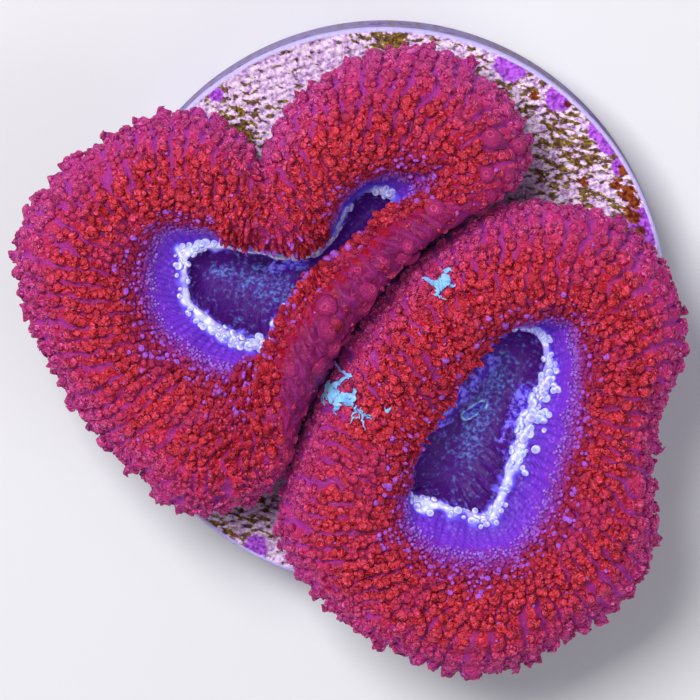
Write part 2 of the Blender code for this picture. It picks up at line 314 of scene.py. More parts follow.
FOOT_REACH = 14.9  # the foot stays on the disc, while the flesh may hang over its edge
FOOT_TUCK = 1.4
BELLY_SHARE = 0.38  # of the crest's height, where the widest reach is
CREST_SHARE = 0.48  # of the way from the widest reach to the lip
RIM_HEIGHT = 3.3
FLOOR_HEIGHT = 1.9
UNDER_RINGS, FLANK_RINGS, SLOPE_RINGS, FLOOR_RINGS = 6, 44, 64, 32


def around(values, turns):
    """What the stations hold, a row each, on a closed Catmull-Rom curve read at turns of 0 to 1."""
    values = np.asarray(values, float)
    place = np.asarray(turns) * len(values)
    first = np.floor(place).astype(int)
    t = (place - first)[:, None]
    a, b, c, d = (values[(first + step) % len(values)] for step in (-1, 0, 1, 2))
    return b + 0.5 * t * (c - a + t * (2 * a - 5 * b + 4 * c - d + t * (3 * (b - c) + d - a)))


def nearest_on(points, line):
    """For each point, the nearest point of a line of several straight runs."""
    best, least = np.zeros_like(points), np.full(len(points), np.inf)
    for start, end in zip(np.array(line[:-1]), np.array(line[1:])):
        run = end - start
        foot = start + np.clip((points - start) @ run / (run @ run), 0.0, 1.0)[:, None] * run
        gap = np.linalg.norm(points - foot, axis=1)
        closer = gap < least
        best[closer], least[closer] = foot[closer], gap[closer]
    return best


def stroked(x, y, strokes):
    """1 along the middle of any of the strokes (start, end, half width), falling to 0 outside them."""
    cover = np.zeros(x.shape)
    for start, end, half in strokes:
        run = np.subtract(end, start)
        share = np.clip(((x - start[0]) * run[0] + (y - start[1]) * run[1]) / (run @ run), 0, 1)
        gap = np.hypot(x - start[0] - share * run[0], y - start[1] - share * run[1])
        cover = np.maximum(cover, np.exp(-((gap / half) ** 2)))
    return cover


def plain_flesh(stations, mouth, count):
    """The flesh with no rows or wrinkles: its rings of points, how far along each ring is, and each
    station value round it. Along is 0 at the foot, 1 at the widest reach, 2 at the crest, 3 at the lip,
    4 at the rim and 5 at the mouth line."""
    points = [np.array([s[k] for s in stations]) for k in range(3)]
    fine = np.linspace(0.0, 1.0, 2001)
    course = around(points[0] + CREST_SHARE * (points[1] - points[0]), fine)
    run = np.concatenate([[0.0], np.cumsum(np.linalg.norm(np.diff(course, axis=0), axis=1))])
    turns = np.interp(np.arange(count) * run[-1] / count, run, fine)
    outer, lip, rim = (around(p, turns) for p in points)
    crest_height, pillows, fingers, white, blisters = around([s[3:] for s in stations], turns).T

    inward = (rim - outer) / np.linalg.norm(rim - outer, axis=1)[:, None]
    outer = outer + (0.12 + 0.42 * pillows)[:, None] * inward
    foot = outer + FOOT_TUCK * inward
    foot *= np.minimum(1.0, FOOT_REACH / np.linalg.norm(foot, axis=1))[:, None]
    crest = outer + CREST_SHARE * (lip - outer)
    belly = BELLY_SHARE * crest_height
    bend = (8 * lip - crest - rim) / 6
    target = nearest_on(rim, mouth)
    rings, along = [], []
    for step in range(UNDER_RINGS):
        angle = math.radians(90.0 * step / UNDER_RINGS)
        place = foot + math.sin(angle) * (outer - foot)
        rings.append(np.column_stack([place, belly * (1 - math.cos(angle)) - 0.05]))
        along.append(step / UNDER_RINGS)
    for step in range(FLANK_RINGS):
        angle = math.radians(90.0 * step / FLANK_RINGS)
        square = 0.8 + 0.2 * np.clip(pillows, 0, 1)  # a pressed flank stands more upright
        place = crest + (math.cos(angle) ** square)[:, None] * (outer - crest)
        rings.append(np.column_stack([place, belly + (crest_height - belly) * math.sin(angle) ** square]))
        along.append(1 + step / FLANK_RINGS)
    for step in range(SLOPE_RINGS):
        t = step / SLOPE_RINGS
        w = ((1 - t) ** 3, 3 * t * (1 - t) ** 2, 3 * t**2 * (1 - t), t**3)
        place = w[0] * crest + (w[1] + w[2]) * bend + w[3] * rim
        rings.append(np.column_stack([place, (w[0] + w[1]) * crest_height + (w[2] + w[3]) * RIM_HEIGHT]))
        along.append(2 + 2 * t)
    for step in range(FLOOR_RINGS + 1):
        share = step / FLOOR_RINGS
        low = np.full(count, FLOOR_HEIGHT + (RIM_HEIGHT - FLOOR_HEIGHT) * (1 - share) ** 2.2)
        rings.append(np.column_stack([rim + 0.985 * share * (target - rim), low]))
        along.append(4 + share)
    rings = np.array(rings)
    rings[..., 2] += DISC_TOP
    coat = {"pillows": pillows, "fingers": fingers, "white": white, "blisters": blisters}
    return rings, np.array(along), coat


def outward(rings):
    """Unit normals of the rings' surface."""
    normal = np.cross(np.roll(rings, -1, axis=1) - np.roll(rings, 1, axis=1), np.gradient(rings, axis=0))
    return normal / np.maximum(np.linalg.norm(normal, axis=2), 1e-9)[:, :, None]


def dressed_flesh(stations, mouth, marks, rows, count, seed):
    """The flesh with its pillows, blisters, wrinkles, rim and floor, and what its coat and finish read."""
    rings, along, coat = plain_flesh(stations, mouth, count)
    along = np.broadcast_to(along[:, None], rings.shape[:2])
    keys = ("pillows", "fingers", "white", "blisters")
    pillows, fingers, white, smooth = (coat[key][None, :] for key in keys)
    rng = np.random.default_rng(seed)
    rings[..., 2] += 0.16 * wander(rings, 3.6, seed) * np.interp(along, [0.8, 1.4, 2.8, 3.4], [0, 1, 1, 0])
    step = np.linalg.norm(np.diff(rings, axis=0), axis=2)
    run = np.concatenate([np.zeros((1, count)), np.cumsum(step, axis=0)])
    above = run - run[UNDER_RINGS]  # along the flesh from the widest reach
    inside = run - run[UNDER_RINGS + FLANK_RINGS + SLOPE_RINGS]  # along the flesh from the rim
    pitch = np.linalg.norm(np.roll(rings, -1, axis=1) - rings, axis=2) * count / rows

    # the rows: a pillow each, parted by valleys, mounded along its length
    phase = np.arange(count)[None, :] * rows / count
    bend = 0.5 * wander(rings * [1, 1, 0.3], 2.6, seed + 3) + 0.16 * wander(rings, 0.9, seed + 18)
    phase = phase + bend * np.interp(along, [0.9, 1.3], [0.3, 1])
    row = np.floor(phase).astype(int)
    middle = (phase % 1.0) - 0.5
    pillow = np.clip((1 - np.abs(2 * middle)) / 0.55, 0, 1)
    pillow = pillow**2 * (3 - 2 * pillow)
    mound = 0.5 + 0.5 * np.cos(2 * np.pi * (above / 1.35 + rng.random(rows)[row % rows]))
    swell = np.interp(along, [0.4, 1.0, 1.5, 2.0, 2.5, 2.8, 3.0], [0, 0.3, 0.46, 0.42, 0.26, 0.1, 0])
    parted = 0.75 + 0.45 * wander(rings, 3.0, seed + 19)  # some rows stand apart, others run together
    lift = swell * (1 - np.clip(parted, 0.25, 1) * (1 - pillow)) * (0.35 + 0.65 * mound)
    lift *= 0.5 + 0.5 * pillows
    valley = np.abs(2 * middle) * np.clip(0.5 + 0.6 * parted, 0.6, 1)

    # two lumps on each row: a pointed one at the widest reach, and a low one above it
    for low, high, wide, tall, point in ((0.1, 0.9, 0.8, 0.62, 0.75), (1.2, 2.2, 0.7, 0.3, 0.1)):
        centres = rng.uniform(low, high, rows)
        reaches = wide * rng.uniform(0.75, 1.2, rows)
        heights = tall * rng.uniform(0.25, 1.1, rows)
        best = np.zeros(along.shape)
        for beside in (-1, 0, 1):
            own = (row + beside) % rows
            near = np.clip(np.hypot((middle - beside) * pitch, above - centres[own]) / reaches[own], 0, 1)
            dome = (1 - point) * np.sqrt(1 - near**2) + point * (1 - near) ** 1.4
            best = np.maximum(best, heights[own] * dome)
        lift += best * pillows * np.interp(along, [0.6, 1.0, 2.0, 2.2], [0, 1, 1, 0])

    rough = 0.07 * wander(rings, 0.55, seed + 16) + 0.1 * wander(rings, 1.3, seed + 17)
    lift += rough * np.interp(along, [0.8, 1.2, 2.6, 3.0], [0.3, 1, 1, 0])

    # the slope to the pit: creases across it and folds down it
    slope = np.interp(along, [2.7, 3.05, 3.8, 3.95], [0, 1, 1, 0])
    crease = (0.5 + 0.5 * np.cos(2 * np.pi * run / 0.27 + 3.4 * wander(rings, 1.5, seed + 5))) ** 3
    fold = wander(np.stack([phase * 0.42, run * 0.16, 0 * run], axis=-1), 1.0, seed + 6)
    lift += slope * (0.13 * fold - 0.03 * crease + 0.05 * wander(rings, 0.7, seed + 7))

    # the rim: a lumpy bead, white where the station says so
    lumpy = 0.5 + 0.5 * wander(rings, 0.6, seed + 9)
    ragged = inside + 0.22 * wander(rings, 0.9, seed + 13)
    bead = np.exp(-((inside / 0.24) ** 2))
    lift += bead * (0.08 + 0.3 * np.clip(white, 0, 1) * np.clip(lumpy, 0.2, 1.2))
    feather = wander(np.stack([phase * 1.2, inside, 0 * phase], axis=-1), 1.0, seed + 10)
    below = 0.36 + 0.25 * np.clip(feather, 0, 1)  # pale streaks run from the rim a little down on the floor
    width = np.where(ragged > 0, below, 0.32 + 0.24 * lumpy)
    pale = np.exp(-np.abs(ragged / width) ** 2.6) * white

    # the floor: streaks and threads that run from rim to mouth, grains, and the mouth's lips
    x, y = rings[..., 0], rings[..., 1]
    green, blue = stroked(x, y, marks["green"]), stroked(x, y, marks["blue"])
    fold_line = stroked(x, y, marks["crease"]) * (along < 2.95) * (along > 1.6)
    lift -= 0.5 * fold_line
    deep = np.clip((along - 4.06) / 0.12, 0, 1) * np.clip((4.98 - along) / 0.1, 0, 1)
    bent = phase + 1.2 * wander(rings, 1.8, seed + 14)
    streak = wander(np.stack([bent * 0.9, inside * 0.35, 0 * bent], axis=-1), 1.0, seed + 11)
    thread = wander(np.stack([bent * 2.3, inside * 0.6, 0 * bent], axis=-1), 1.0, seed + 15)
    calm = np.interp(along, [4.25, 4.6], [1, 0.05])  # so that they don't all meet in a star
    streak, thread = calm * streak, calm * thread
    lift += deep * (0.12 * streak + 0.02 * thread + 0.1 * green * wander(rings, 0.28, seed + 12))
    lips = np.zeros(along.shape)
    for start, end, half in marks["lips"]:
        near = np.sqrt(-np.log(np.maximum(stroked(x, y, [(start, end, 1.0)]), 1e-9)))
        lips = np.exp(-(((near - half) / 0.07) ** 2)) * (along > 4.05) * (along < 4.99)
        lift += 0.2 * lips - 0.5 * np.clip(1 - near / half, 0, 1) * (along > 4.05)
    rings = rings + lift[:, :, None] * outward(rings)
    grip = np.clip(np.maximum((fingers - 0.45) / 0.15, 1 - 2 * white), 0, 1)
    hang = grip * np.interp(along, [2.4, 3.0, 3.6, 3.8], [0, 0.55, 0.85, 0])
    # the seam, where a flank is pressed against its neighbour, which the finish darkens as painted shade
    seam = np.clip((0.6 - pillows) / 0.3, 0, 1) * np.interp(along, [1.0, 1.5], [1, 0])
    seam = seam * (0.35 + 0.65 * smooth)
    facts = {
        "along": along, "zone": along + 0.2 * fold_line - hang, "valley": valley, "pale": pale,
        "streak": streak, "thread": thread, "crease": crease, "green": green, "blue": blue, "lips": lips,
        "mound": mound, "pillows": pillows, "pressed": seam, "fingers": fingers, "white": white,
        "blisters": smooth, "phase": phase, "run": run, "pitch": pitch, "inside": inside,
    }  # fmt: skip
    return rings, {key: np.broadcast_to(value, along.shape) for key, value in facts.items()}


heart, heart_facts = dressed_flesh(HEART_STATIONS, HEART_MOUTH, HEART_MARKS, HEART_ROWS, HEART_POINTS, 11)
SKIN_VALUES = (
    "zone", "valley", "pale", "streak", "thread", "crease", "green", "blue", "lips", "blisters",
    "pressed", "inside",
)  # fmt: skip
heart_skin = mesh_of_rings("heart_skin", heart, {key: heart_facts[key] for key in SKIN_VALUES})


CURL_TURNS = 44.0


def curled(add, place, scale):
    """Thin curling lines, as where small folds of wet flesh meet, for painted highlight, and the dark
    hollows between them, for painted shade.
    """
    swirl = add("TexNoise", {"Vector": place, "Scale": scale, "Detail": 1.0, "Distortion": 0.6})
    wave = figured(add, "COSINE", figured(add, "MULTIPLY", swirl, CURL_TURNS))
    line = figured(add, "POWER", figured(add, "MULTIPLY_ADD", wave, 0.5, 0.5), 5.0)
    return line, figured(add, "POWER", figured(add, "MULTIPLY_ADD", wave, -0.5, 0.5), 3.0)


def skin_finish(name):
    """Wet flesh: plum, falling to near black at its foot as painted shade under the overhang, red with
    purple valleys on its pillows, blue-violet in the pit.
    """
    finish, shader, add = start_finish(name)
    read, times, plus = short_ways(add)
    place = add("TexCoord", output=3)
    broad = add("TexNoise", {"Vector": place, "Scale": 300.0, "Detail": 3.0})
    dapple = add("TexNoise", {"Vector": place, "Scale": 1400.0, "Detail": 3.0})
    fine = add("TexNoise", {"Vector": place, "Scale": 5200.0, "Detail": 3.0})
    cell = add("TexVoronoi", {"Vector": place, "Scale": 3300.0})
    budding = add("TexVoronoi", {"Vector": place, "Scale": 2300.0, "Randomness": 0.85})

    # the tops of the pillows, with small buds drawn as rings of painted highlight, curling lines of painted
    # highlight, and painted shade in the hollows between the curls
    zone = times(read("zone"), 0.2)
    zone = plus(zone, times(figured(add, "SUBTRACT", dapple, 0.5), 0.06))
    zone = plus(zone, times(figured(add, "SUBTRACT", broad, 0.5), 0.04))
    # the top colours fall to near black towards the foot (zone 0) as painted shade under the overhang
    top = ramped(add, zone, [
        (0.0, screen(30, 8, 24)), (0.16, screen(96, 24, 78)), (0.22, screen(174, 44, 138)),
        (0.3, screen(182, 36, 92)), (0.38, screen(172, 16, 34)), (0.5, screen(150, 10, 22)),
        (0.56, screen(142, 32, 86)), (0.6, screen(150, 42, 128)), (0.64, screen(146, 50, 166)),
        (0.68, screen(130, 56, 214)), (0.76, screen(104, 50, 200)), (0.8, screen(66, 24, 122)),
        (0.835, screen(60, 12, 90)), (1.0, screen(74, 20, 122)),
    ])  # fmt: skip
    bud = ramped(add, budding, [
        (0.0, (0.1, 0.1, 0.1, 1)), (0.17, (0.12, 0.12, 0.12, 1)), (0.27, (1, 1, 1, 1)),
        (0.34, (0.6, 0.6, 0.6, 1)), (0.44, (0.12, 0.12, 0.12, 1)), (1.0, (0, 0, 0, 1)),
    ])  # fmt: skip
    ring = ramped(add, zone, [
        (0.16, screen(170, 60, 150)), (0.26, screen(232, 84, 164)), (0.38, screen(242, 78, 108)),
        (0.52, screen(226, 62, 90)), (0.58, screen(196, 84, 190)),
    ])  # fmt: skip
    fleshy = times(stepped(add, zone, 0.17, 0.24), stepped(add, zone, 0.6, 0.54))
    fleshy = times(fleshy, figured(add, "MULTIPLY_ADD", read("blisters"), -0.7, 1.0))
    curl, hollow_shade = curled(add, place, 1500.0)
    plump = times(figured(add, "POWER", read("blisters"), 3.0), stepped(add, zone, 0.5, 0.42))
    top = mixed(add, times(plump, 0.95), top, screen(106, 14, 84))
    top = mixed(add, times(times(hollow_shade, fleshy), 0.35), top, screen(108, 8, 26))
    top = mixed(add, times(times(bud, fleshy), 0.4), top, ring)
    top = mixed(add, times(times(curl, fleshy), 0.75), top, ring)

    # the valleys between them, painted shade on the flank pressed into the seam, and the slope to the pit
    # the valley colours, too, fall to near black towards the foot as painted shade
    valley = ramped(add, zone, [
        (0.0, screen(30, 8, 34)), (0.19, screen(140, 48, 160)), (0.3, screen(166, 54, 160)),
        (0.44, screen(146, 38, 108)), (0.57, screen(140, 46, 160)), (0.64, screen(120, 54, 200)),
        (0.77, screen(78, 34, 164)), (0.82, screen(44, 10, 74)), (1.0, screen(62, 16, 96)),
    ])  # fmt: skip
    between = stepped(add, plus(read("valley"), times(dapple, 0.6)), 0.74, 1.06)
    between = times(between, figured(add, "MULTIPLY_ADD", read("blisters"), -0.4, 0.85))
    tone = mixed(add, between, top, valley)
    tone = mixed(add, times(read("pressed"), 0.85), tone, screen(70, 16, 66))
    pit = stepped(add, zone, 0.57, 0.63)
    # painted shade along the creases of the slope
    tone = mixed(add, times(read("crease"), times(pit, 0.4)), tone, screen(62, 24, 130))

    # the floor: streaks, blue tufts near the rim, grains and the lips of the mouth
    deep = stepped(add, zone, 0.812, 0.845)
    specks = times(stepped(add, cell, 0.42, 0.2), times(figured(add, "SUBTRACT", pit, deep), 0.26))
    tone = mixed(add, specks, tone, screen(176, 120, 244))
    streak, thread = read("streak"), read("thread")
    mottle = add("TexNoise", {"Vector": place, "Scale": 3000.0, "Detail": 4.0, "Roughness": 0.6})
    lit = plus(times(streak, 0.5), mottle)
    tone = mixed(add, times(stepped(add, lit, 0.4, 1.2), times(deep, 0.5)), tone, screen(92, 28, 140))
    tuft = plus(times(thread, 0.25), times(mottle, 2.6))
    fibres = plus(times(thread, 1.6), 1.7)
    tuft = plus(tuft, times(read("blue"), fibres))
    near = times(stepped(add, read("inside"), 1.3, 0.1), 1.9)
    tuft = stepped(add, plus(tuft, near), 2.0, 3.5)
    lit = mixed(add, stepped(add, mottle, 0.42, 0.6), screen(78, 44, 200), screen(138, 126, 255))
    tone = mixed(add, times(tuft, times(deep, 0.85)), tone, lit)
    grains = plus(times(mottle, 2.4), plus(times(read("green"), 0.7), cell))
    grainy = figured(add, "MULTIPLY_ADD", stepped(add, fine, 0.42, 0.6), 0.65, 0.1)
    grains = times(stepped(add, grains, 1.75, 2.7), times(deep, grainy))
    tone = mixed(add, grains, tone, screen(98, 136, 214))
    tone = mixed(add, times(read("lips"), stepped(add, mottle, 0.35, 0.6)), tone, screen(150, 198, 255))

    # the rim: a blue halo, then white
    ragged = plus(read("pale"), times(dapple, 0.35))
    tone = mixed(add, times(stepped(add, ragged, 0.24, 0.6), 0.8), tone, screen(112, 92, 250))
    pale = stepped(add, ragged, 0.56, 1.0)
    white = mixed(add, stepped(add, broad, 0.42, 0.6), screen(164, 156, 255), screen(204, 210, 255))
    white = mixed(add, stepped(add, cell, 0.3, 0.55), screen(240, 240, 255), white)
    tone = mixed(add, pale, tone, white)

    # painted glow: the flesh glows faintly in its own colour, which lifts its shade, and the sunken floor
    # glows more, which lifts the pit's shadow
    held = mixed(add, deep, (0.46, 0.46, 0.46, 1.0), (1.0, 1.0, 1.0, 1.0))  # the sunken floor glows more
    relief = plus(times(times(plus(bud, curl), fleshy), 0.6), times(fine, 0.4))
    give(shader, {
        "Base Color": tone, "Emission Color": mixed(add, 1.0, tone, held, "MULTIPLY"),
        "Emission Strength": 0.3,
        "Normal": add("Bump", {"Height": relief, "Strength": 0.7, "Distance": 0.00016}),
        "Roughness": 0.45, "Specular IOR Level": 0.16, "Subsurface Weight": 0.35,
        "Subsurface Radius": (1.0, 0.25, 0.45), "Subsurface Scale": 0.0004,
        "Sheen Weight": 0.22, "Sheen Roughness": 0.3, "Sheen Tint": (0.8, 0.08, 0.6, 1.0),
    })  # fmt: skip
    return finish


heart_skin.data.materials.append(skin_finish("heart flesh"))
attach(heart_skin, "root")
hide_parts("polyp_heart")

# The vesicles of the heart-shaped polyp: small water-filled domes of red flesh that crowd in rows on the
# pillows and shrink to pearls where the flesh turns to the pit. They are fingers by the fold and in the
# ridge's fringe, cones at the widest reach, and a few low blisters on the ridge's smooth flank.


def small_body(name, sides, profile):
    """A turned body of unit width and height, closed below, with its place from base to top as 'tip'."""
    turn = np.linspace(0, 2 * np.pi, sides, endpoint=False)
    points = [(r * math.cos(a), r * math.sin(a), z) for r, z in profile[:-1] for a in turn]
    points.append((0.0, 0.0, profile[-1][1]))
    faces = [list(range(sides))[::-1]]
    for ring in range(len(profile) - 2):
        first = ring * sides
        for k in range(sides):
            beside = (k + 1) % sides
            faces.append((first + k, first + beside, first + beside + sides, first + k + sides))
    last = (len(profile) - 2) * sides
    faces += [(last + k, last + (k + 1) % sides, len(points) - 1) for k in range(sides)]
    mesh = bpy.data.meshes.new(name)
    mesh.from_pydata(points, [], faces)
    tip = [k / (len(profile) - 1) for k in range(len(profile) - 1) for _ in range(sides)] + [1.0]
    mesh.attributes.new("tip", "FLOAT", "POINT").data.foreach_set("value", tip)
    mesh.shade_smooth()
    return bpy.data.objects.new(name, mesh)


vesicle = small_body("vesicle", 7, [(1.5, -0.35), (1.08, 0.22), (0.8, 0.74), (0.5, 0.94), (0.0, 0.72)])
bud = small_body("bud", 6, [(1.25, -0.4), (0.9, 0.45), (0.55, 0.92), (0.0, 0.8)])
finger = small_body("finger", 7, [
    (1.3, -0.2), (0.96, 0.2), (0.86, 0.6), (0.64, 0.86), (0.32, 0.98), (0.0, 1.0),
])  # fmt: skip
cone = small_body("cone", 7, [(1.5, -0.3), (1.02, 0.2), (0.62, 0.6), (0.34, 0.88), (0.0, 1.0)])
blister = small_body("blister", 16, [
    (1.25, -0.9), (1.02, -0.1), (0.86, 0.42), (0.62, 0.74), (0.42, 0.9), (0.3, 1.0), (0.18, 0.86),
    (0.0, 0.8),
])  # fmt: skip


def seed_tree():
    """Geometry Nodes that set one body on each seat, leaning, turned and scaled as the seat says."""
    tree = bpy.data.node_groups.new("bodies on seats", "GeometryNodeTree")
    tree.is_modifier = True
    for name, kind in (("Seats", "Geometry"), ("Body", "Object"), ("Width", "Float"), ("Height", "Float"),
                       ("Seed", "Int"), ("Finish", "Material")):  # fmt: skip
        tree.interface.new_socket(name, in_out="INPUT", socket_type="NodeSocket" + kind)
    tree.interface.new_socket("Geometry", in_out="OUTPUT", socket_type="NodeSocketGeometry")

    def add(kind, inputs=(), **settings):
        made = tree.nodes.new(kind)
        for key, value in settings.items():
            setattr(made, key, value)
        give(made, inputs)
        return made

    def read(name, kind="FLOAT"):
        return add("GeometryNodeInputNamedAttribute", {"Name": name}, data_type=kind).outputs["Attribute"]

    given = tree.nodes.new("NodeGroupInput").outputs
    body = add("GeometryNodeObjectInfo", {"Object": given["Body"]})
    lean = add("FunctionNodeAlignRotationToVector", {"Vector": read("lean", "FLOAT_VECTOR")}, axis="Z")
    twist = {2: 0.0, 3: 2 * math.pi, "Seed": given["Seed"]}
    twist = add("FunctionNodeRandomValue", twist, data_type="FLOAT")
    spin = add("ShaderNodeCombineXYZ", {"Z": twist.outputs[1]})
    spin = add("FunctionNodeEulerToRotation", {0: spin.outputs[0]})
    stood = {0: lean.outputs[0], 1: spin.outputs[0]}
    stood = add("FunctionNodeRotateRotation", stood, rotation_space="LOCAL")
    wide = add("ShaderNodeMath", {0: read("wide"), 1: given["Width"]}, operation="MULTIPLY").outputs[0]
    tall = add("ShaderNodeMath", {0: read("tall"), 1: given["Height"]}, operation="MULTIPLY").outputs[0]
    other = add("ShaderNodeMath", {0: given["Seed"], 1: 50.0}, operation="ADD").outputs[0]
    uneven = add("FunctionNodeRandomValue", {2: 0.75, 3: 1.25, "Seed": other}, data_type="FLOAT")
    long = add("ShaderNodeMath", {0: wide, 1: uneven.outputs[1]}, operation="MULTIPLY").outputs[0]
    size = add("ShaderNodeCombineXYZ", {0: wide, 1: long, 2: tall})
    set_out = add("GeometryNodeInstanceOnPoints", {
        "Points": given["Seats"], "Instance": body.outputs["Geometry"],
        "Rotation": stood.outputs[0], "Scale": size.outputs[0],
    })  # fmt: skip
    real = add("GeometryNodeRealizeInstances", {"Geometry": set_out.outputs[0]})
    coat = add("GeometryNodeSetMaterial", {"Geometry": real.outputs[0], "Material": given["Finish"]})
    tree.links.new(coat.outputs[0], tree.nodes.new("NodeGroupOutput").inputs["Geometry"])
    return tree


seed_group = seed_tree()


def grown(name, seats, body, finish, seed, width=1.0, height=1.0):
    """A piece of all the bodies on a list of seats. A seat is a place, a lean, a width, a height, how far
    along the flesh it is, and a shade of its own."""
    table = np.array([[*place, *lean, *rest] for place, lean, *rest in seats])
    mesh = bpy.data.meshes.new(name)
    mesh.from_pydata((table[:, :3] * MM).tolist(), [], [])
    lean = mesh.attributes.new("lean", "FLOAT_VECTOR", "POINT")
    lean.data.foreach_set("vector", table[:, 3:6].astype(np.float32).ravel())
    for key, column in (("wide", 6), ("tall", 7), ("zone", 8), ("shade", 9)):
        scale = MM if key in ("wide", "tall") else 1.0
        held = mesh.attributes.new(key, "FLOAT", "POINT")
        held.data.foreach_set("value", (table[:, column] * scale).astype(np.float32))
    seated = bpy.data.objects.new(name + "_seats", mesh)
    bpy.context.scene.collection.objects.link(seated)
    modifier = seated.modifiers.new("growth", "NODES")
    given = {"Body": body, "Width": width, "Height": height, "Seed": seed, "Finish": finish}
    modifier.node_group = seed_group
    for socket in seed_group.interface.items_tree:
        if socket.in_out == "INPUT" and socket.name in given:
            modifier[socket.identifier] = given[socket.name]
    seated.update_tag()
    graph = bpy.context.evaluated_depsgraph_get()
    graph.update()
    result = bpy.data.meshes.new_from_object(seated.evaluated_get(graph))
    result.name = name
    result.shade_smooth()
    bpy.data.objects.remove(seated)
    piece = bpy.data.objects.new(name, result)
    bpy.context.scene.collection.objects.link(piece)
    return piece


CONE_SPACING = 0.17
BLISTER_TRIES = 2600
VESICLE_PITCH = 0.385
FILLER_TRIES = 5000


